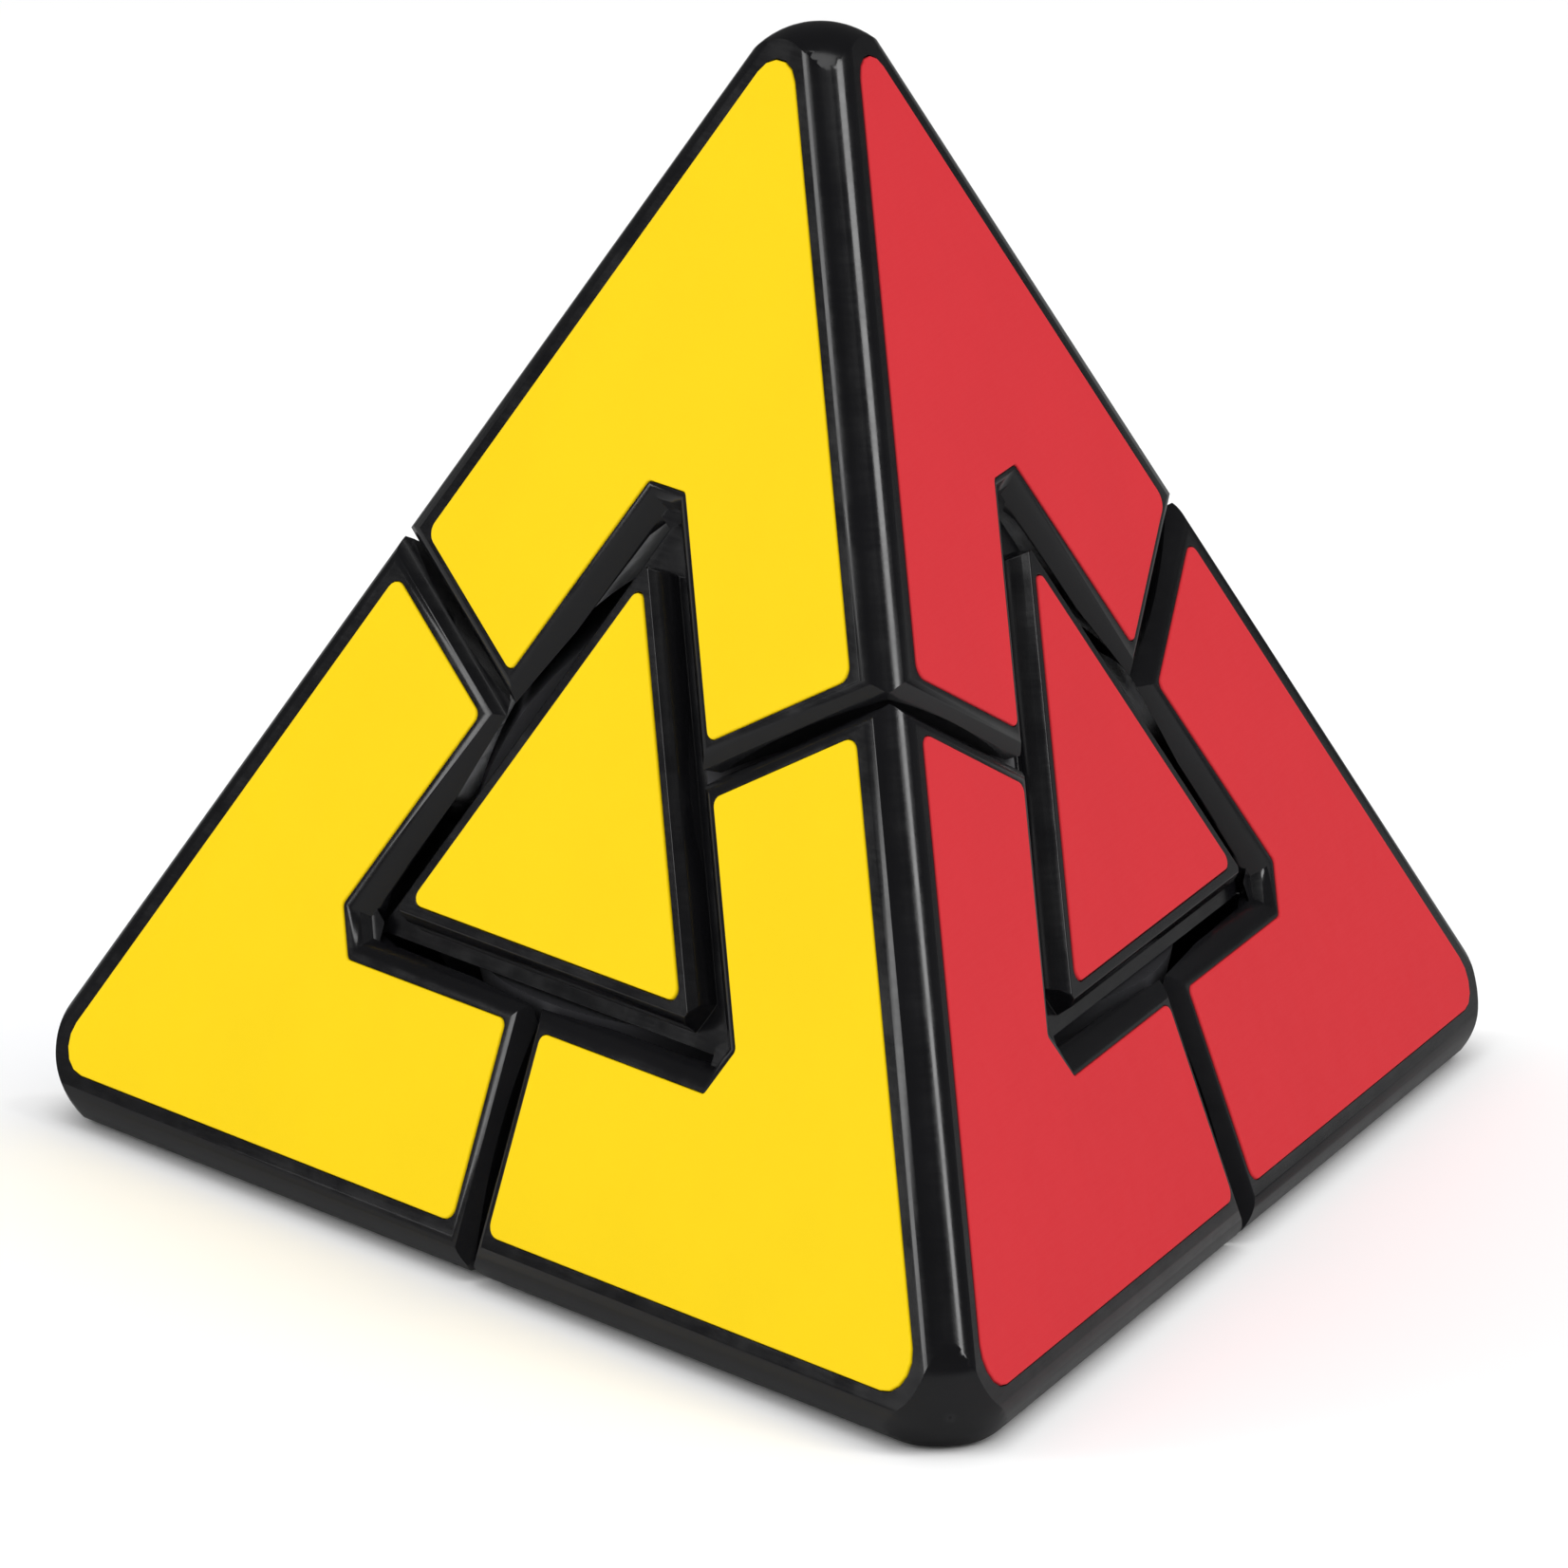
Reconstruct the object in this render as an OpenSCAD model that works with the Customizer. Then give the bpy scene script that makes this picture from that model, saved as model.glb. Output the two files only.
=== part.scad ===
// Pyramid twisty puzzle: four corners turn about a hidden core, and carry floating face centres with them.
// Millimetres. The puzzle stands on one face at z = 0, with its top corner on the Z axis.

/* [Pyramid] */
// Edge length of the pyramid before its edges are rounded
edge = 98; // [97:0.5:99]
// Radius of the rounding along each edge
edge_round = 2; // [1.5:0.1:2.4]
// Radius of the ball that rounds each corner's tip
tip_round = 5.55; // [5.4:0.05:5.7]
// Depth of the tip ball's centre below the sharp tip
tip_depth = 12.1; // [12:0.05:12.3]

/* [Cuts] */
// Distance of each corner's flat cut from the middle of the puzzle, on the far side
cut_offset = 3.5; // [3.3:0.1:3.7]
// Half of the gap between two pieces that slide past each other
half_gap = 0.15; // [0.1:0.01:0.2]
// Width of the V groove beside each cut between two corners
groove_w = 2.9; // [2.6:0.1:3.2]
// Depth of that V groove
groove_depth = 1.3; // [1:0.1:1.5]

/* [Face centres] */
// In-circle radius of the raised triangle at its foot
raised_r = 9.1; // [8.9:0.1:9.3]
// Height of the raised triangle above its ledge
raised_h = 1.8; // [1.6:0.1:2]
// Thickness of the ledge around the raised triangle at its rim
ledge_h = 1.8; // [1.6:0.1:2]
// In-circle radius of the recess at the top of the sloped corner walls
recess_r = 11.9; // [11.7:0.1:12]

/* [Tiles] */
// Thickness of the coloured tiles
tile_t = 1; // [0.8:0.1:1.2]
// Height by which the tiles stand above the black plastic
tile_proud = 0.12; // [0.08:0.01:0.2]
// Gap between the pyramid's sharp edge and the tiles, along the face
tile_inset = 3.6; // [3.4:0.1:3.8]
// Gap between the middle of a slot and the tiles beside it
tile_slot = 1.76; // [1.6:0.02:1.9]
// Distance from the middle of the face to the corner tiles' inner sides
tile_recess_r = 12.14; // [12.1:0.02:12.3]
// Distance from the middle of the face to the corner tiles' inner chamfers
tile_chamfer_y = 21.2; // [21:0.1:21.6]
// In-circle radius of the face centre tiles
tile_centre_r = 7.6; // [7.4:0.1:7.8]

/* [Mechanism] */
// Radius of the core ball
core_r = 8; // [7.8:0.1:8.2]
// Radius of the core's four arms
arm_r = 2; // [1.9:0.05:2.1]
// Outer radius of the layer that the feet and the sliders' tongues run in
foot_r = 12.4; // [12.3:0.1:12.6]
// Depth of that layer's flat cuts below the middle of the puzzle, along each turning axis
foot_drop = 0.75; // [0.65:0.05:0.85]
// Height of the flat cuts above it, where the corners' rims hold the feet down
neck_rise = 2; // [1.9:0.05:2.1]
// Radius of the screws' shafts
screw_r = 1.25; // [1.2:0.05:1.3]
// Outer radius of the edge sliders
slider_r = 21.4; // [21:0.1:21.8]

/* [Hidden] */
$fn = 96;

// Colours
black = [0.05, 0.05, 0.055];
dark_grey = [0.16, 0.16, 0.17];
steel = [0.72, 0.73, 0.75];
face_colours = [[0.05, 0.5, 0.22], [0.8, 0.24, 0.26], [0.1, 0.28, 0.72], [0.97, 0.84, 0.04]];

// Corner numbers: 0 top, 1 left, 2 front, 3 right. Face n lies opposite corner n, so face 0 is the base.
TOP = 0;
LEFT = 1;
FRONT = 2;
RIGHT = 3;
GREEN = 0;
RED = 1;
BLUE = 2;
YELLOW = 3;
// Compass angles of the lower corners about the Z axis
corner_az = [0, 150, 270, 30];
// Compass angle of each corner in each face's frame, one row per face
corner_angle = [[0, 180, 60, 300], [180, 0, 300, 60], [180, 60, 0, 300], [180, 300, 60, 0]];

// Angles of a regular tetrahedron, seen from its middle
corner_to_corner = acos(-1 / 3);
corner_to_face = acos(1 / 3);
corner_to_mid_edge = corner_to_corner / 2;
half_dihedral = corner_to_face / 2;

// Distances of the sharp pyramid
face_d = edge / sqrt(24);
body_d = face_d - tile_proud;
face_in_r = edge / sqrt(12);
far = 90;

// In-circle radius, on the face, of the triangle that the three flat cuts leave
centre_r = (cut_offset + face_d / 3) / sin(corner_to_face);

// Lower rim of the face centre's ledge, where the flat cut begins
rim_h = face_d - raised_h - ledge_h;
rim_in_r = (cut_offset + rim_h / 3) / sin(corner_to_face);
rim_rho = sqrt(rim_h ^ 2 + rim_in_r ^ 2 - cut_offset ^ 2);
neck_top_r = 16.1;

// Half-plane coordinates about a corner's axis, [distance from axis, height over the middle], of a point in a face's
// frame that has that corner at 60 degrees
function about_corner(x, y, h) =
    let (along = h / 3 + sin(corner_to_face) * (x * cos(60) + y * sin(60)))
    [sqrt(x ^ 2 + y ^ 2 + h ^ 2 - along ^ 2), along];

// What the raised triangle's top edge sweeps as a corner turns, at its end and part of the way along
raised_taper = 0.85;
raised_top_r = raised_r - raised_taper;
raised_corner_r = 16.2;
raised_end_y = -sqrt(raised_corner_r ^ 2 - raised_top_r ^ 2);
lip_gap = 0.25;
swept_part = 0.43;
swept_end = about_corner(raised_top_r, raised_end_y, body_d) + [lip_gap, 0];
swept_side = about_corner(raised_top_r, swept_part * raised_end_y, body_d) + [lip_gap, 0];
swept_foot = 0.7;
// The line where two corners meet, at the bottom of the groove between them
slot_h = body_d - groove_depth;
slot_from = 11.8;
slot_start = about_corner(slot_from, 0, slot_h);
slot_end = [sqrt(2) * slot_h, slot_h];
slot_slope = (slot_end - slot_start)[1] / (slot_end - slot_start)[0];

// One corner's cut, in half-plane coordinates about its axis: inside, among the feet, necks and rims, and outside,
// where it comes up between the corners. Both run along the same flat cut in between.
inner_path = [
    [1, -foot_drop],
    [foot_r, -foot_drop],
    [foot_r, neck_rise],
    [neck_top_r, neck_rise],
    [rim_rho, -cut_offset],
    [far, -cut_offset]
];
outer_path = [
    [1, -cut_offset],
    [swept_end[0] + swept_foot, -cut_offset],
    swept_end,
    swept_side,
    slot_start,
    [far, slot_start[1] + (far - slot_start[0]) * slot_slope]
];

// Offsets an open path to its right by d, keeping its corners sharp
function right_of(a, b) = [b[1] - a[1], a[0] - b[0]] / norm(b - a);
function mitre(m, n) = (m + n) / (1 + m * n);
function offset_path(p, d) = [
    for (i = [0 : len(p) - 1])
        let (before = right_of(p[max(i - 1, 0)], p[max(i, 1)]))
        let (after = right_of(p[min(i, len(p) - 2)], p[min(i + 1, len(p) - 1)]))
        p[i] + d * mitre(before, after)
];

// Turning frames, each with its origin at the middle of the puzzle. A corner's frame has +Z out through its tip.
module at_corner(c) {
    translate([0, 0, face_d])
        if (c == TOP) {
            rotate([0, 0, -30]) children();
        } else {
            rotate([0, corner_to_corner, corner_az[c]]) children();
        }
}

// A face's frame has +Z out through the middle of the face, and its corners at 60, 180 and 300 degrees.
module at_face(f) {
    at_corner(f)
        rotate([180, 0, 0]) children();
}

// An edge's frame, inside a corner's frame, has +Z out through the middle of the edge at the given compass angle.
module at_edge(angle) {
    rotate([0, corner_to_mid_edge, angle]) children();
}

// Everything that turns with the corner on +Z, grown by g, out to a radius beyond the pyramid
module turning_zone(cut, g) {
    path = offset_path(cut, g);
    inner = [0, path[0][1]];
    rotate_extrude()
        polygon(concat([inner], path, [[far, far], [0, far]]));
}

// The same for another corner, seen from a corner's frame or from a face's frame
module zone_from_corner(angle, cut, g) {
    rotate([0, corner_to_corner, angle]) turning_zone(cut, g);
}
module zone_from_face(angle, cut, g) {
    rotate([0, corner_to_face, angle]) turning_zone(cut, g);
}

// All of space below a plane at height h
module below(h) {
    translate([-far, -far, h - 2 * far]) cube(2 * far);
}

// Space inside the three faces that meet at the corner on +Z, when the faces are d from the middle
module inside_faces(d) {
    intersection_for(a = [0, 120, 240])
        rotate([0, corner_to_face, a]) below(d);
}

// What rounding one edge takes away, with the edge along X and the faces below it
module edge_cutter() {
    sharp = body_d * sqrt(3);
    centre = sharp - edge_round * cos(4) / sin(half_dihedral);
    chord = centre + edge_round * sin(half_dihedral);
    difference() {
        translate([-far / 2, -4, chord]) cube([far, 8, 8]);
        translate([-far, 0, centre]) rotate([0, 90, 0]) cylinder(h = 2 * far, r = edge_round);
    }
}

// What rounding the tip takes away
module tip_cutter() {
    centre = 3 * body_d - tip_depth;
    difference() {
        translate([-10, -10, centre + tip_round * cos(corner_to_mid_edge)]) cube(20);
        translate([0, 0, centre]) sphere(r = tip_round);
    }
}

// Corner with a radius, as the points of an arc between two sides of an outline
arc_steps = 5;
function unit(v) = v / norm(v);
function corner_arc(a, b, c, r) =
    let (u = unit(a - b), w = unit(c - b))
    let (half = acos(u * w) / 2)
    let (centre = b + unit(u + w) * r / sin(half))
    let (from = b + u * r / tan(half) - centre)
    let (turn = (u[0] * w[1] - u[1] * w[0] > 0 ? -1 : 1) * (180 - 2 * half))
    [for (i = [0 : arc_steps])
        let (t = turn * i / arc_steps)
        centre + [from[0] * cos(t) - from[1] * sin(t), from[0] * sin(t) + from[1] * cos(t)]];
function rounded(p, r) = [
    for (i = [0 : len(p) - 1])
        each corner_arc(p[(i + len(p) - 1) % len(p)], p[i], p[(i + 1) % len(p)], r[i])
];

// Outline of a corner's tile on its face, with the corner towards -X and the face's middle at the origin.
// grow makes it larger on every side, for the pocket that the tile sits in.
function slot_side(s) = [-cos(60), s * sin(60)];
function along_side(s) = [-sin(60), -s * cos(60)];
function corner_tile_points(grow) =
    let (outer = face_in_r - tile_inset + grow)
    let (inner = tile_recess_r - grow)
    let (slot = tile_slot - grow)
    let (tip = tile_chamfer_y - grow)
    let (reach = (tip - inner / 2) / sin(60))
    [
        [-2 * outer, 0],
        outer * slot_side(1) + slot * along_side(1),
        inner * slot_side(1) + slot * along_side(1),
        inner * slot_side(1) + reach * along_side(1),
        inner * slot_side(-1) + reach * along_side(-1),
        inner * slot_side(-1) + slot * along_side(-1),
        outer * slot_side(-1) + slot * along_side(-1)
    ];
tile_radii = [2, 0.9, 0.6, 0.4, 0.4, 0.6, 0.9];
module corner_tile_outline(grow) {
    polygon(rounded(corner_tile_points(grow), tile_radii));
}

// A triangle with an in-circle of radius r, its corners at 60, 180 and 300 degrees
function triangle(r) = [for (a = [60, 180, 300]) 2 * r * [cos(a), sin(a)]];
module centre_tile_outline(grow) {
    polygon(rounded(triangle(tile_centre_r + grow), [0.6, 0.6, 0.6]));
}

// The shallow pocket that a tile sits in, or the tile itself, in the face's frame
pocket_gap = 0.05;
module tile_slab(grow) {
    bottom = face_d - tile_t - grow;
    translate([0, 0, bottom])
        linear_extrude(grow > 0 ? 2 * tile_t : tile_t) children();
}

// A block with three sloped sides, r1 wide at height h1 and r2 at h2, measured as in-circle radii
module tapered_triangle(r1, h1, r2, h2) {
    lean = atan((r2 - r1) / (h2 - h1));
    intersection_for(a = [0, 120, 240])
        rotate([0, 0, a])
        translate([r1, 0, h1])
        rotate([0, lean, 0])
        translate([-2 * far, -far, -far]) cube(2 * far);
}

// The recess around a face centre that the corners' sloped walls leave, in the face's frame. Its walls come up in
// three slopes, each flatter than the one below, which makes a soft shoulder. Each row is a part of the way in from
// the rim to the wall's foot, and a part of the way down.
shoulder = [[0, 0], [0.3, 0.14], [0.64, 0.45], [1, 1]];
lip_h = 1;
lip_land = 0.02;
tip_land = 0.25;
tip_cut = 1.2;
module recess_cutter() {
    foot_in_r = (cut_offset + (body_d - lip_h) / 3) / sin(corner_to_face) + half_gap - lip_land;
    tip_top = tile_chamfer_y - tip_land;
    side_in = recess_r - foot_in_r;
    tip_in = tip_top - 2 * foot_in_r + tip_cut;
    for (i = [0 : 2]) {
        upper = shoulder[i];
        lower = shoulder[i + 1];
        upper_h = body_d - upper[1] * lip_h;
        lower_h = body_d - lower[1] * lip_h;
        intersection() {
            tapered_triangle(recess_r - lower[0] * side_in, lower_h, recess_r - upper[0] * side_in, upper_h);
            mirror([1, 0, 0])
                tapered_triangle(tip_top - lower[0] * tip_in, lower_h, tip_top - upper[0] * tip_in, upper_h);
            translate([0, 0, lower_h]) cylinder(h = far, r = far);
        }
    }
}

// The V groove along one slot, in the face's frame, at compass angle 0, with the same soft shoulders
module groove_cutter() {
    side = [for (i = [3 : -1 : 0]) [(1 - shoulder[i][0]) * groove_w / 2, body_d - shoulder[i][1] * groove_depth]];
    top = body_d + 1;
    half_top = groove_w;
    right = concat([for (i = [1 : 3]) side[i]], [[half_top, top]]);
    left = [for (i = [len(right) - 1 : -1 : 0]) [-right[i][0], right[i][1]]];
    translate([centre_r - 1, 0, 0])
        rotate([90, 0, 90])
        linear_extrude(face_in_r)
        polygon(concat([side[0]], right, left));
}

// Everything that belongs to one corner, as one block with flat faces. Each cut is a hair deeper than the one before,
// so that their edges don't all meet in one point.
hair = 1e-5;
module corner_block(cut) {
    difference() {
        intersection() {
            inside_faces(body_d);
            cylinder(h = far, r = far);
        }
        for (a = [60, 180, 300])
            zone_from_corner(a, cut, half_gap + hair * a);
    }
}

// The part of it that is the stem: the rim over the feet, and the neck that goes into the shell
split_h = 23;
neck_r = 8.5;
rim_top = 17.5;
rim_r = 14;
module stem_space() {
    cylinder(h = split_h, r = neck_r);
    cylinder(h = rim_top, r = rim_r);
}

/* Corner shell */
tube_r = 3.5;
tube_top = 38;
boss_r = 5.2;
shell_t = 2.2;
socket_gap = 0.03;

// The cavity stays clear of the socket for the neck, and of the swept walls around the face centres
socket_floor = 32;
socket_r = 9.5;
cavity_from = 24;

// The hollow behind the shell's three faces and three flat cuts, around the boss that the stem's tube is pressed into
module corner_cavity() {
    difference() {
        intersection() {
            inside_faces(body_d - shell_t);
            intersection_for(a = [60, 180, 300])
                rotate([0, corner_to_corner, a]) below(-cut_offset - half_gap - shell_t);
        }
        cylinder(h = tube_top, r = boss_r);
        cylinder(h = socket_floor, r = socket_r);
        sphere(r = cavity_from);
    }
}

module corner_shell(c) {
    color(black)
        at_corner(c)
        difference() {
            corner_block(outer_path);
            stem_space();
            for (a = [60, 180, 300])
                at_edge(a) edge_cutter();
            tip_cutter();
            for (a = [0, 120, 240])
                rotate([0, corner_to_face, a]) {
                    recess_cutter();
                    for (s = [120, 240])
                        rotate([0, 0, s]) groove_cutter();
                    tile_slab(pocket_gap) corner_tile_outline(pocket_gap);
                }
            translate([0, 0, split_h - 1]) cylinder(h = tube_top - split_h + 2, r = tube_r + socket_gap);
            corner_cavity();
        }
}

/* Corner stem */
bore_gap = 0.15;
seat_h = 25;
chamber_r = 2.75;

module corner_stem(c) {
    color(dark_grey)
        at_corner(c)
        difference() {
            union() {
                intersection() {
                    corner_block(inner_path);
                    stem_space();
                }
                translate([0, 0, split_h - 1]) cylinder(h = tube_top - split_h + 1, r = tube_r);
            }
            sphere(r = foot_r + 2 * half_gap);
            cylinder(h = far, r = screw_r + bore_gap);
            translate([0, 0, seat_h]) cylinder(h = far, r = chamber_r);
        }
}

/* Core */
arm_root = 0.75 * core_r;
arm_top = foot_r - half_gap;
screw_bottom = 4.6;

module core() {
    color(dark_grey)
        difference() {
            union() {
                translate([0, 0, face_d]) rotate([0, corner_to_mid_edge, 0]) sphere(r = core_r);
                for (c = [TOP, LEFT, FRONT, RIGHT])
                    at_corner(c) translate([0, 0, arm_root]) cylinder(h = arm_top - arm_root, r = arm_r);
            }
            for (c = [TOP, LEFT, FRONT, RIGHT])
                at_corner(c)
                    translate([0, 0, screw_bottom - 0.5]) cylinder(h = arm_top, r = screw_r + 0.05);
        }
}

/* Fasteners */
washer_t = 0.5;
washer_r = 2.5;
head_h = 33.6;
head_t = 1.7;
head_r = 2.4;
thread_pitch = 0.6;
thread_depth = 0.18;
thread_turns = 12;

module screw(c) {
    thread = [
        for (i = [0 : thread_turns - 1])
            each [
                [screw_r - thread_depth, screw_bottom + i * thread_pitch],
                [screw_r, screw_bottom + (i + 0.5) * thread_pitch]
            ]
    ];
    thread_top = screw_bottom + thread_turns * thread_pitch;
    shank = screw_r - thread_depth / 2;
    head = [
        [shank, thread_top], [shank, head_h], [head_r, head_h], [head_r, head_h + 0.6 * head_t],
        [0.72 * head_r, head_h + head_t], [0, head_h + head_t]
    ];
    color(steel)
        at_corner(c)
        difference() {
            rotate_extrude()
                polygon(concat([[0, screw_bottom]], thread, head));
            for (a = [0, 90])
                rotate([0, 0, a])
                translate([-1.3, -0.35, head_h + 0.5]) cube([2.6, 0.7, 2]);
        }
}

module washer(c) {
    color(steel)
        at_corner(c)
        translate([0, 0, head_h - washer_t])
        difference() {
            cylinder(h = washer_t, r = washer_r);
            translate([0, 0, -1]) cylinder(h = washer_t + 2, r = screw_r + bore_gap);
        }
}

/* Springs */
spring_r = 2.15;
wire_r = 0.28;
spring_turns = 7;
ring_steps = 16;
wire_sides = 6;
spring_gap = 0.03;

// Height of the coil's centre line after t turns: flat for the first and last turn, even in between
function coil_rise(t) =
    let (free = spring_turns - 2)
    let (bottom = seat_h + wire_r + spring_gap, top = head_h - washer_t - wire_r - spring_gap)
    let (lead = 2.3 * wire_r)
    t < 1 ? bottom + lead * t :
    t > spring_turns - 1 ? top - lead * (spring_turns - t) :
    bottom + lead + (top - bottom - 2 * lead) * (t - 1) / free;
function coil_point(t, side) =
    let (r = spring_r + wire_r * cos(360 * side / wire_sides))
    [r * cos(360 * t), r * sin(360 * t), coil_rise(t) + wire_r * sin(360 * side / wire_sides)];

module spring(c) {
    rings = spring_turns * ring_steps;
    points = [for (i = [0 : rings], s = [0 : wire_sides - 1]) coil_point(i / ring_steps, s)];
    walls = [
        for (i = [0 : rings - 1], s = [0 : wire_sides - 1])
            let (a = i * wire_sides + s, b = i * wire_sides + (s + 1) % wire_sides)
            [a, b, b + wire_sides, a + wire_sides]
    ];
    first = [for (s = [wire_sides - 1 : -1 : 0]) s];
    last = [for (s = [0 : wire_sides - 1]) rings * wire_sides + s];
    color(steel)
        at_corner(c) polyhedron(points, concat([first], walls, [last]));
}

/* Tiles */
module corner_tile(c, f) {
    color(face_colours[f])
        at_face(f)
        rotate([0, 0, corner_angle[f][c] - 180])
        tile_slab(0) corner_tile_outline(0);
}

/* Face centres */
foot_split = 15;
foot_reach = 9.4;
ledge_corner_r = 19.1;
peg_r = 1.6;
peg_top = 17.2;
foot_clip = neck_top_r + 0.3;
foot_of_taper = 0.5;

module centre_block() {
    difference() {
        intersection() {
            zone_from_face(60, inner_path, -half_gap - 60 * hair);
            zone_from_face(180, inner_path, -half_gap - 180 * hair);
            zone_from_face(300, inner_path, -half_gap - 300 * hair);
            below(face_d - raised_h);
        }
        rotate([180, 0, 0]) turning_zone(inner_path, half_gap);
        rotate([90, 0, 0]) sphere(r = core_r + 2 * half_gap);
    }
}

module centre_body(f) {
    ledge = face_d - raised_h;
    color(black)
        at_face(f)
        difference() {
            union() {
                intersection() {
                    centre_block();
                    translate([0, 0, foot_split]) cylinder(h = 10, r = ledge_corner_r);
                }
                intersection() {
                    tapered_triangle(raised_r, ledge, raised_r - foot_of_taper, body_d);
                    tapered_triangle(raised_r + 0.15, body_d - 1, raised_top_r, body_d);
                    translate([0, 0, ledge - 1]) cylinder(h = body_d - ledge + 1, r = raised_corner_r);
                }
            }
            tile_slab(pocket_gap) centre_tile_outline(pocket_gap);
            translate([0, 0, foot_split - 1]) cylinder(h = peg_top - foot_split + 1.1, r = peg_r + socket_gap);
        }
}

module centre_foot(f) {
    color(dark_grey)
        at_face(f)
        union() {
            intersection() {
                centre_block();
                cylinder(h = foot_split, r = foot_reach);
                sphere(r = foot_clip);
            }
            translate([0, 0, foot_split - 1]) cylinder(h = peg_top - foot_split + 1, r = peg_r);
        }
}

module centre_tile(f) {
    color(face_colours[f])
        at_face(f)
        tile_slab(0) centre_tile_outline(0);
}

/* Edge sliders */
module slider(c, angle) {
    color(dark_grey)
        at_corner(c)
        difference() {
            intersection() {
                turning_zone(inner_path, -half_gap);
                zone_from_corner(angle, inner_path, -half_gap);
                sphere(r = slider_r);
            }
            zone_from_corner(angle + 120, inner_path, half_gap);
            zone_from_corner(angle + 240, inner_path, half_gap);
            sphere(r = core_r + 2 * half_gap);
        }
}

core();
corner_shell(TOP);  // corner_shell_top
corner_shell(LEFT);  // corner_shell_left
corner_shell(FRONT);  // corner_shell_front
corner_shell(RIGHT);  // corner_shell_right
corner_stem(TOP);  // corner_stem_top
corner_stem(LEFT);  // corner_stem_left
corner_stem(FRONT);  // corner_stem_front
corner_stem(RIGHT);  // corner_stem_right
screw(TOP);  // screw_top
screw(LEFT);  // screw_left
screw(FRONT);  // screw_front
screw(RIGHT);  // screw_right
washer(TOP);  // washer_top
washer(LEFT);  // washer_left
washer(FRONT);  // washer_front
washer(RIGHT);  // washer_right
spring(TOP);  // spring_top
spring(LEFT);  // spring_left
spring(FRONT);  // spring_front
spring(RIGHT);  // spring_right
corner_tile(TOP, YELLOW);  // tile_top_yellow
corner_tile(TOP, RED);  // tile_top_red
corner_tile(TOP, BLUE);  // tile_top_blue
corner_tile(LEFT, YELLOW);  // tile_left_yellow
corner_tile(LEFT, BLUE);  // tile_left_blue
corner_tile(LEFT, GREEN);  // tile_left_green
corner_tile(FRONT, YELLOW);  // tile_front_yellow
corner_tile(FRONT, RED);  // tile_front_red
corner_tile(FRONT, GREEN);  // tile_front_green
corner_tile(RIGHT, RED);  // tile_right_red
corner_tile(RIGHT, BLUE);  // tile_right_blue
corner_tile(RIGHT, GREEN);  // tile_right_green
centre_body(GREEN);  // centre_body_green
centre_body(RED);  // centre_body_red
centre_body(BLUE);  // centre_body_blue
centre_body(YELLOW);  // centre_body_yellow
centre_foot(GREEN);  // centre_foot_green
centre_foot(RED);  // centre_foot_red
centre_foot(BLUE);  // centre_foot_blue
centre_foot(YELLOW);  // centre_foot_yellow
centre_tile(GREEN);  // centre_tile_green
centre_tile(RED);  // centre_tile_red
centre_tile(BLUE);  // centre_tile_blue
centre_tile(YELLOW);  // centre_tile_yellow
slider(TOP, 180);  // slider_top_left
slider(TOP, 300);  // slider_top_front
slider(TOP, 60);  // slider_top_right
slider(LEFT, 60);  // slider_left_front
slider(FRONT, 60);  // slider_front_right
slider(LEFT, 300);  // slider_left_right
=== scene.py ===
# %% [markdown]
# # Pyramid twisty puzzle
# A four-cornered pyramid whose corners turn. The moulded plastic bodies are glossy black, and thin satin tiles in
# four colours lie in shallow pockets on them. The shapes come from the CAD frame, so this lesson is about three
# things: softening moulded edges, making plastic look like plastic, and lighting black gloss against white.

# %% Load the frame
import math

import bpy
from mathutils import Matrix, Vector

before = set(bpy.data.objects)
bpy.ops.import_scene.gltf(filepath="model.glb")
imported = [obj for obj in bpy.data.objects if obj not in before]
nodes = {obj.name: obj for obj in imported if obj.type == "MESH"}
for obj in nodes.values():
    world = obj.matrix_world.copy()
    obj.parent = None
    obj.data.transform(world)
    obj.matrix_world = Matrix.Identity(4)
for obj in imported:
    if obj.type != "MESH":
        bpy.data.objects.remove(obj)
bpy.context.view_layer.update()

# %% [markdown]
# Every node belongs to a family that is finished in the same way. Sorting them once by name keeps the later cells
# short: shells and centre bodies are the black plastic that shows, tiles carry the colours, and the rest is the
# mechanism, which only shows through the gaps while a corner turns.

# %% Sort the nodes into families
BLACK = [name for name in nodes if name.startswith(("corner_shell", "centre_body"))]
TILES = [name for name in nodes if name.startswith(("tile", "centre_tile"))]
STEEL = [name for name in nodes if name.startswith(("screw", "washer", "spring"))]
GREY = [name for name in nodes if name not in BLACK + TILES + STEEL]
print("black:", len(BLACK), "tiles:", len(TILES), "steel:", len(STEEL), "mechanism:", len(GREY))

# %% [markdown]
# ## Softened edges
# A moulded part never has a razor edge: the mould is cut with a round cutter, and the edge catches a thin line of
# light. There are three ways to get that line. A bevel node in the shader only bends the light; sculpting is not
# repeatable; a Bevel modifier makes real faces and leaves the mesh below untouched, so that is what is used here.
# The imported mesh is split along its sharp edges, so it is first welded, and the flat faces are merged into single
# polygons, because a bevel runs cleanly only along whole edges.

# %% A helper that softens the edges of one object
# Points closer than this, in metres, become one, and faces closer than this angle become one face
MERGE = 0.00001
FLAT = math.radians(0.6)
# Edges sharper than this angle, in degrees, are softened. The bodies have shallow steps in their fillets that stay.
BODY_LIMIT = 35
TILE_LIMIT = 60


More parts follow.
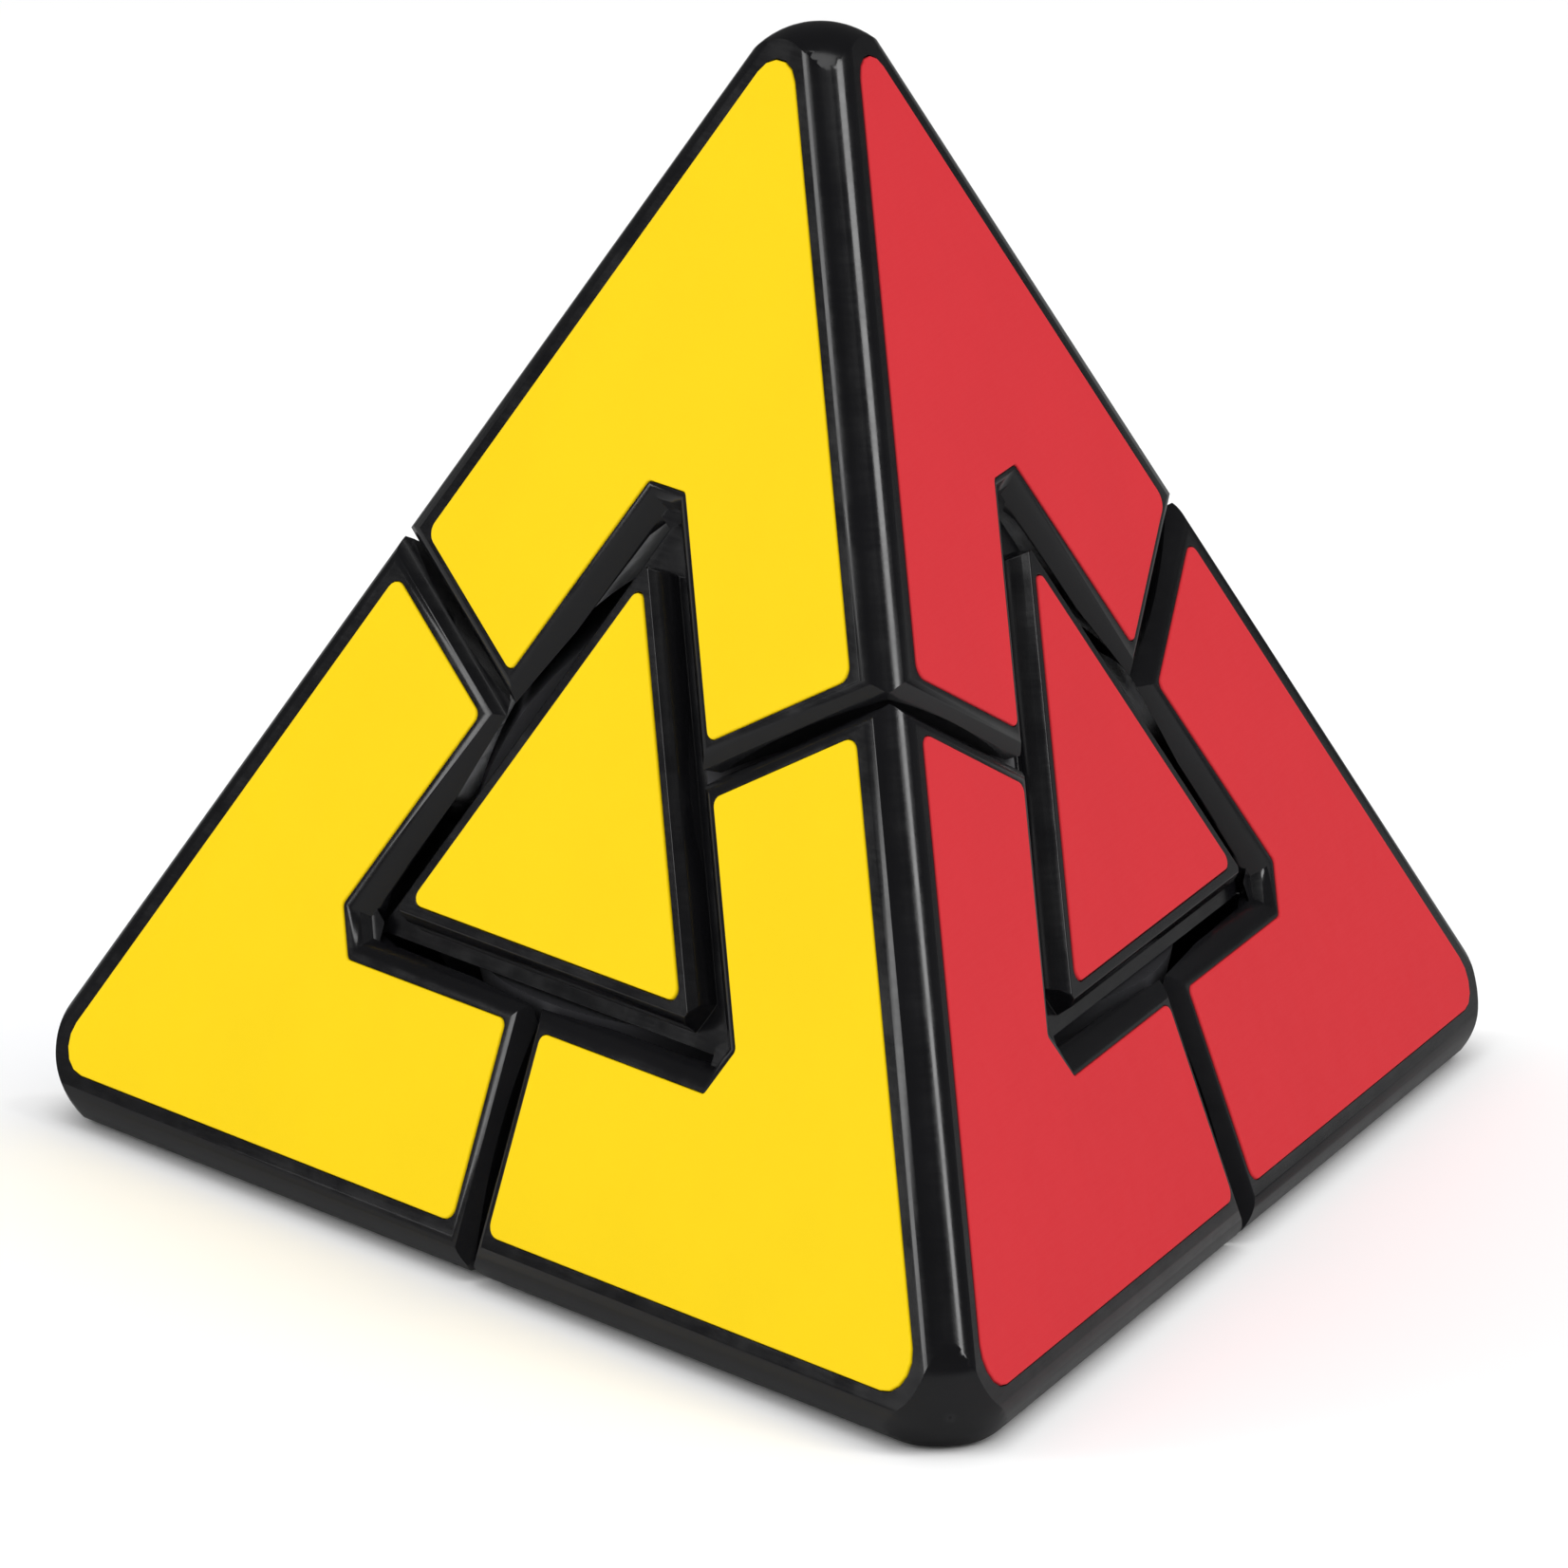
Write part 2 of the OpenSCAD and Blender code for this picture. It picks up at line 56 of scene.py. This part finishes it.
def soften(piece, width, segments, sharpest):
    """Weld, merge flat faces, bevel what is sharper than the limit, and shade the rest smooth."""
    weld = piece.modifiers.new("join split edges", "WELD")
    weld.merge_threshold = MERGE
    merge = piece.modifiers.new("merge flat faces", "DECIMATE")
    merge.decimate_type = "DISSOLVE"
    merge.angle_limit = FLAT
    bevel = piece.modifiers.new("soft moulded edges", "BEVEL")
    bevel.width = width
    bevel.segments = segments
    bevel.limit_method = "ANGLE"
    bevel.angle_limit = math.radians(sharpest)
    bevel.use_clamp_overlap = True
    even = piece.modifiers.new("keep big faces flat", "WEIGHTED_NORMAL")
    even.mode = "FACE_AREA"
    even.weight = 100


# %% Soften the black bodies and the tiles
BODY_EDGE = 0.0002
TILE_EDGE = 0.00012
for name in BLACK:
    soften(nodes[name], BODY_EDGE, 3, BODY_LIMIT)
for name in TILES:
    soften(nodes[name], TILE_EDGE, 2, TILE_LIMIT)
print("edges softened by", BODY_EDGE * 1000, "mm on bodies and", TILE_EDGE * 1000, "mm on tiles")

# %% [markdown]
# ## One plastic effect for every material
# Moulded plastic is never one flat colour. Its gloss wanders a little where hands have touched it, the surface has a
# very fine grain from the mould, and its colour drifts by a per cent or two. All plastics here share that effect
# with different amounts, so it is one node group with named inputs. It puts out a colour, a roughness and a height,
# and the Principled shader itself stays in each material.

# %% Helpers for node groups
def new_group(name, inputs, outputs):
    """A shader node group with named float or colour sockets."""
    group = bpy.data.node_groups.new(name, "ShaderNodeTree")
    kinds = {"float": "NodeSocketFloat", "colour": "NodeSocketColor"}
    for label, kind, default in inputs:
        socket = group.interface.new_socket(label, in_out="INPUT", socket_type=kinds[kind])
        socket.default_value = default
    for label, kind in outputs:
        group.interface.new_socket(label, in_out="OUTPUT", socket_type=kinds[kind])
    return group, group.nodes.new("NodeGroupInput"), group.nodes.new("NodeGroupOutput")


def noise(group, vector, scale, detail, roughness):
    """A noise texture on a vector socket."""
    node = group.nodes.new("ShaderNodeTexNoise")
    node.inputs["Detail"].default_value = detail
    node.inputs["Roughness"].default_value = roughness
    node.inputs["Scale"].default_value = scale
    group.links.new(vector, node.inputs["Vector"])
    return node.outputs["Fac"]


def spread(group, source, low, high):
    """Maps the middle of a noise onto low to high. low and high may be numbers or sockets."""
    node = group.nodes.new("ShaderNodeMapRange")
    node.inputs["From Min"].default_value = 0.35
    node.inputs["From Max"].default_value = 0.65
    for label, value in (("To Min", low), ("To Max", high)):
        if isinstance(value, (int, float)):
            node.inputs[label].default_value = value
        else:
            group.links.new(value, node.inputs[label])
    group.links.new(source, node.inputs["Value"])
    return node.outputs["Result"]


def maths(group, operation, a, b):
    """A Math node between sockets or numbers."""
    node = group.nodes.new("ShaderNodeMath")
    node.operation = operation
    for index, value in enumerate((a, b)):
        if isinstance(value, (int, float)):
            node.inputs[index].default_value = value
        else:
            group.links.new(value, node.inputs[index])
    return node.outputs["Value"]


# %% The moulded plastic group
plastic, given, result = new_group(
    "moulded plastic",
    [
        ("Colour", "colour", (0.5, 0.5, 0.5, 1)),
        ("Colour drift", "float", 0.04),
        ("Smoothest", "float", 0.2),
        ("Roughest", "float", 0.3),
        ("Grain", "float", 0.2),
        ("Scratches", "float", 0.1),
    ],
    [("Colour", "colour"), ("Roughness", "float"), ("Height", "float")],
)
# Each scale is in waves per metre: patches of a centimetre, handling marks of 3 mm, grain of 0.2 mm, and streaks that
# are squeezed to a fourteenth across
place = plastic.nodes.new("ShaderNodeTexCoord").outputs["Object"]
patches = noise(plastic, place, 90, 3, 0.55)
handled = noise(plastic, place, 320, 4, 0.6)
grain = noise(plastic, place, 5200, 2, 0.5)
stretch = plastic.nodes.new("ShaderNodeMapping")
stretch.inputs["Scale"].default_value = (1, 1, 14)
stretch.inputs["Rotation"].default_value = (0.5, 0.8, 0.3)
plastic.links.new(place, stretch.inputs["Vector"])
streaks = noise(plastic, stretch.outputs["Vector"], 420, 2, 0.5)

darker = maths(plastic, "SUBTRACT", 1, given.outputs["Colour drift"])
lighter = maths(plastic, "ADD", 1, given.outputs["Colour drift"])
tone = plastic.nodes.new("ShaderNodeHueSaturation")
plastic.links.new(spread(plastic, patches, darker, lighter), tone.inputs["Value"])
plastic.links.new(given.outputs["Colour"], tone.inputs["Color"])
plastic.links.new(tone.outputs["Color"], result.inputs["Colour"])

gloss = spread(plastic, handled, given.outputs["Smoothest"], given.outputs["Roughest"])
fine = maths(plastic, "MULTIPLY", spread(plastic, streaks, -0.02, 0.02), given.outputs["Scratches"])
plastic.links.new(maths(plastic, "ADD", gloss, fine), result.inputs["Roughness"])
height = maths(plastic, "MULTIPLY", grain, given.outputs["Grain"])
plastic.links.new(height, result.inputs["Height"])
print("group:", plastic.name, "with", len(plastic.nodes), "nodes")

# %% [markdown]
# ## Black gloss and satin tiles
# The group's height is multiplied by the Bump node's distance in metres, so the grain of the black gloss is about a
# thousandth of a millimetre deep, and that of the tiles twice that. A thin coat gives the black bodies the wet-looking
# highlight of a polished mould. The tiles get no coat and a low specular level. Their colour stays deep from every
# side, as dyed plastic with a fine matt texture does.

# %% A helper that makes one plastic material
def plastic_material(name, colour, drift, gloss, grain_depth, specular=0.5, coat=0.0):
    """A plastic whose roughness wanders between the two values of gloss, with mould grain that many metres deep."""
    material = bpy.data.materials.new(name)
    material.use_nodes = True
    tree = material.node_tree
    shader = tree.nodes["Principled BSDF"]
    effect = tree.nodes.new("ShaderNodeGroup")
    effect.node_tree = plastic
    effect.inputs["Colour"].default_value = (*colour, 1)
    effect.inputs["Colour drift"].default_value = drift
    effect.inputs["Smoothest"].default_value = gloss[0]
    effect.inputs["Roughest"].default_value = gloss[1]
    effect.inputs["Grain"].default_value = 1
    effect.inputs["Scratches"].default_value = 1
    bump = tree.nodes.new("ShaderNodeBump")
    bump.inputs["Strength"].default_value = 1
    bump.inputs["Distance"].default_value = grain_depth
    tree.links.new(effect.outputs["Height"], bump.inputs["Height"])
    tree.links.new(bump.outputs["Normal"], shader.inputs["Normal"])
    tree.links.new(effect.outputs["Colour"], shader.inputs["Base Color"])
    tree.links.new(effect.outputs["Roughness"], shader.inputs["Roughness"])
    shader.inputs["IOR"].default_value = 1.5
    shader.inputs["Specular IOR Level"].default_value = specular
    shader.inputs["Coat Weight"].default_value = coat
    shader.inputs["Coat Roughness"].default_value = 0.06
    return material


# %% Black body, mechanism and tile plastics
black = plastic_material(
    "black gloss plastic", (0.005, 0.005, 0.006), drift=0.15, gloss=(0.15, 0.24), grain_depth=0.0000015, coat=0.1
)
grey = plastic_material(
    "dark grey moulded plastic", (0.05, 0.05, 0.055), drift=0.1, gloss=(0.4, 0.55), grain_depth=0.000006
)
COLOURS = {
    "yellow": (0.92, 0.645, 0.002),
    "red": (0.59, 0.027, 0.036),
    "blue": (0.012, 0.09, 0.42),
    "green": (0.01, 0.28, 0.07),
}
tile_plastic = {
    colour: plastic_material(
        f"{colour} satin tile", value, drift=0.012, gloss=(0.36, 0.46), grain_depth=0.000003, specular=0.08
    )
    for colour, value in COLOURS.items()
}
print("plastics:", [material.name for material in bpy.data.materials])

# %% [markdown]
# ## Plated steel
# The screws, washers and springs are zinc plated. Plating is bright but soft, with faint spangles a millimetre wide
# and a fine grain. It uses the same noise helpers, and being metal it takes its tint from Base Color.

# %% The plated steel material
steel = bpy.data.materials.new("zinc plated steel")
steel.use_nodes = True
tree = steel.node_tree
shader = tree.nodes["Principled BSDF"]
shader.inputs["Base Color"].default_value = (0.56, 0.57, 0.59, 1)
shader.inputs["Metallic"].default_value = 1
place = tree.nodes.new("ShaderNodeTexCoord").outputs["Object"]
spangle = noise(tree, place, 900, 4, 0.6)
tree.links.new(spread(tree, spangle, 0.24, 0.4), shader.inputs["Roughness"])
bump = tree.nodes.new("ShaderNodeBump")
bump.inputs["Distance"].default_value = 0.000004
tree.links.new(noise(tree, place, 4000, 2, 0.5), bump.inputs["Height"])
tree.links.new(bump.outputs["Normal"], shader.inputs["Normal"])
print("metal:", steel.name)

# %% [markdown]
# ## Dress the nodes
# A node of the CAD keeps its own mesh, so a finish is given by filling its material slots. Each tile's colour is the
# last word of its name.

# %% Give every node its material
def finish(name, material):
    piece = nodes[name]
    piece.data.materials.clear()
    piece.data.materials.append(material)


for name in BLACK:
    finish(name, black)
for name in GREY:
    finish(name, grey)
for name in STEEL:
    finish(name, steel)
for name in TILES:
    finish(name, tile_plastic[name.split("_")[-1]])
print("finished nodes:", sum(bool(piece.data.materials) for piece in nodes.values()))

# %% [markdown]
# ## Floor
# The puzzle stands on plain white paper. Black gloss shows nothing but what it reflects, and a big white floor would
# turn it grey. In a studio, black cards stand around such an object. Here the paper tells gloss rays from the others
# with a Light Path node, and looks darker to them. It does the work of the cards without their shadows.

# %% The floor
FLOOR_SIDE = 12
FLOOR_GAP = 0.0001
PAPER = 0.95
PAPER_IN_GLOSS = 0.3
bpy.ops.mesh.primitive_plane_add(size=FLOOR_SIDE, location=(0, 0, -FLOOR_GAP))
floor = bpy.context.object
floor.name = "floor"
paper = bpy.data.materials.new("white paper")
paper.use_nodes = True
paper_tree = paper.node_tree
paper_shader = paper_tree.nodes["Principled BSDF"]
paper_shader.inputs["Roughness"].default_value = 0.8
paper_shader.inputs["Specular IOR Level"].default_value = 0.1
seen = paper_tree.nodes.new("ShaderNodeLightPath")
shade = paper_tree.nodes.new("ShaderNodeMix")
shade.data_type = "RGBA"
# Inputs 6 and 7 of a Mix node are its two colours, and output 2 is the mixed one
shade.inputs[6].default_value = (PAPER, PAPER, PAPER, 1)
shade.inputs[7].default_value = (PAPER_IN_GLOSS, PAPER_IN_GLOSS, PAPER_IN_GLOSS, 1)
paper_tree.links.new(seen.outputs["Is Glossy Ray"], shade.inputs["Factor"])
paper_tree.links.new(shade.outputs[2], paper_shader.inputs["Base Color"])
floor.data.materials.append(paper)
print("floor:", FLOOR_SIDE, "m wide,", FLOOR_GAP * 1000, "mm under the puzzle")

# %% [markdown]
# ## Room and lamps
# The room uses the same trick: it is bright for the paper and the tiles, and nearly black in reflections. Two soft
# boxes then draw the long lines of light along the rounded edges, a wide one low at the left and a stronger one high
# at the right. A large lamp overhead evens out the tiles and lays the soft shadow on the paper.

# %% The room
ROOM = 0.79
ROOM_IN_GLOSS = 0.06
world = bpy.data.worlds.new("studio")
bpy.context.scene.world = world
world.use_nodes = True
sky = world.node_tree
rays = sky.nodes.new("ShaderNodeLightPath")
room = sky.nodes["Background"]
room.inputs["Color"].default_value = (1, 1, 1, 1)
strength = sky.nodes.new("ShaderNodeMapRange")
strength.inputs["To Min"].default_value = ROOM
strength.inputs["To Max"].default_value = ROOM_IN_GLOSS
sky.links.new(rays.outputs["Is Glossy Ray"], strength.inputs["Value"])
sky.links.new(strength.outputs["Result"], room.inputs["Strength"])
print("room:", ROOM_IN_GLOSS, "for gloss rays,", ROOM, "for the rest")

# %% The lamps
MIDDLE = Vector((0, 0, 0.03))


def softbox(name, azimuth, elevation, distance, width, height, power):
    """A rectangular lamp on a sphere around the puzzle, turned to face it."""
    lamp = bpy.data.lights.new(name, "AREA")
    lamp.shape = "RECTANGLE"
    lamp.size, lamp.size_y = width, height
    lamp.energy = power
    holder = bpy.data.objects.new(name, lamp)
    a, e = math.radians(azimuth), math.radians(elevation)
    out = Vector((math.cos(e) * math.cos(a), math.cos(e) * math.sin(a), math.sin(e)))
    holder.location = MIDDLE + distance * out
    holder.rotation_euler = (-out).to_track_quat("-Z", "Y").to_euler()
    bpy.context.scene.collection.objects.link(holder)


# name, azimuth and elevation in degrees, distance, width and height in metres, power in watts
LAMPS = [
    ("left box", 176, 22, 0.7, 0.2, 0.4, 0.9),
    ("right box", 329, 44, 0.7, 0.15, 0.5, 1.5),
    ("overhead", 255, 78, 1.3, 0.8, 0.8, 3.2),
]
for row in LAMPS:
    softbox(*row)
print("lamps:", [row[0] for row in LAMPS])

# %% [markdown]
# ## Camera
# A long lens from a metre away keeps the pyramid's proportions true. The camera looks a little down on the edge
# between the yellow and the red face. It is turned towards the puzzle by its rotation alone, with no lens shift, so
# it can be moved to any other side and still work.

# %% The camera
lens = bpy.data.cameras.new("camera")
lens.sensor_width = 36
lens.lens = 413.07
lens.clip_start = 0.05
lens.clip_end = 20
camera = bpy.data.objects.new("camera", lens)
camera.location = (-0.149176, -1.027128, 0.332561)
camera.rotation_euler = [math.radians(value) for value in (73.54397, 0.26765, -8.2124)]
bpy.context.scene.collection.objects.link(camera)
bpy.context.scene.camera = camera
bpy.context.scene.view_settings.view_transform = "Standard"
print("camera:", round(camera.location.length, 2), "m away, focal length", lens.lens, "mm")

# %% [markdown]
# ## Update the scene
# A bevel only takes material away, so the finished puzzle must fill the same box as the CAD frame. The last
# cell brings the view layer up to date.

# %% Update the view layer
bpy.context.view_layer.update()
